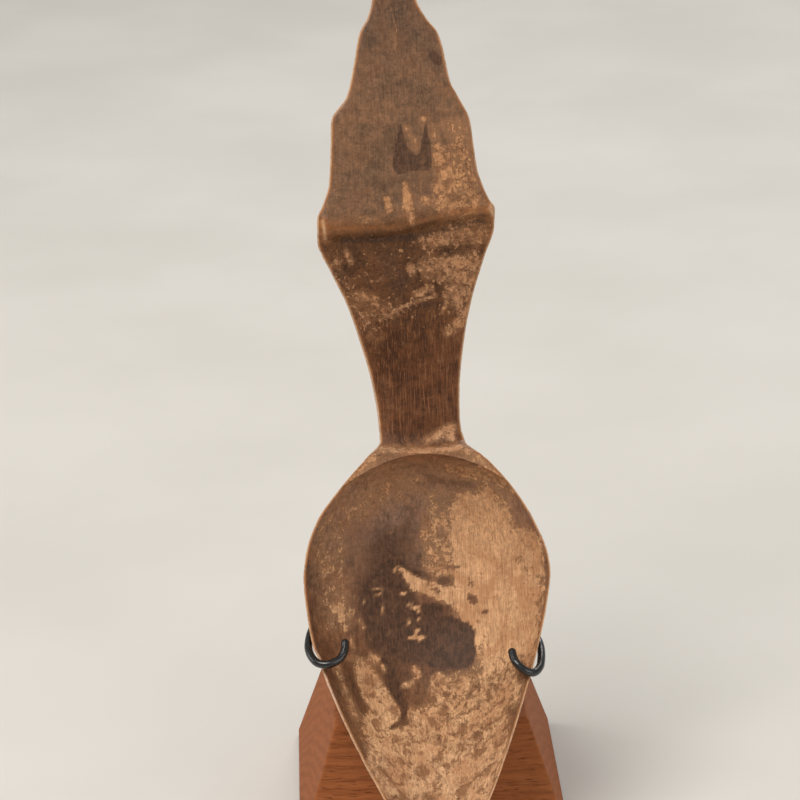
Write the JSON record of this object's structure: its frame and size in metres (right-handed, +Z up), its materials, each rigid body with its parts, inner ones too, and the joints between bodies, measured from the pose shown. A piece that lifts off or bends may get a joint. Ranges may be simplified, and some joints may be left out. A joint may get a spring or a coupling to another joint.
{
  "type": "carved spoon on a display stand",
  "caption": "Hand-carved spoon with a stepped handle and a pointed, forward-curving bowl, held upright by sleeved wire hooks on a small tapered wooden block.",
  "frame": {"origin": "centre of the underside of the plinth's felt, on the surface it stands on", "axes": "+Z up, -Y toward the viewer, the side that the bowl opens to, +X to the viewer's right"},
  "size_m": [0.0636, 0.1136, 0.2],
  "materials": {
    "plinth_wood": "satin",
    "black_felt": "matte",
    "brass": "satin",
    "black_sleeve": "gloss",
    "carved_antler": "satin"
  },
  "bodies": {
    "base": {"plinth": "plinth_wood", "base_felt": "black_felt", "stem_socket": "brass"},
    "armature": {"stem": "brass", "arm_hub": "brass", "left_hook": "brass", "right_hook": "brass", "left_sleeve": "black_sleeve", "right_sleeve": "black_sleeve", "rest_arm": "brass", "rest_pad": "black_felt"},
    "spoon": {"spoon": "carved_antler"}
  },
  "joints": [
    {"name": "mount_lift", "type": "slide", "parent": "base", "child": "armature", "axis": [0, 0, 1], "range_m": [0, 0.025]},
    {"name": "spoon_tip", "type": "hinge", "parent": "armature", "child": "spoon", "pos_m": [-0.001, -0.02777, 0.04627], "axis": [0.9976, -0.0495, -0.0478], "range_deg": [0, 20]}
  ]
}
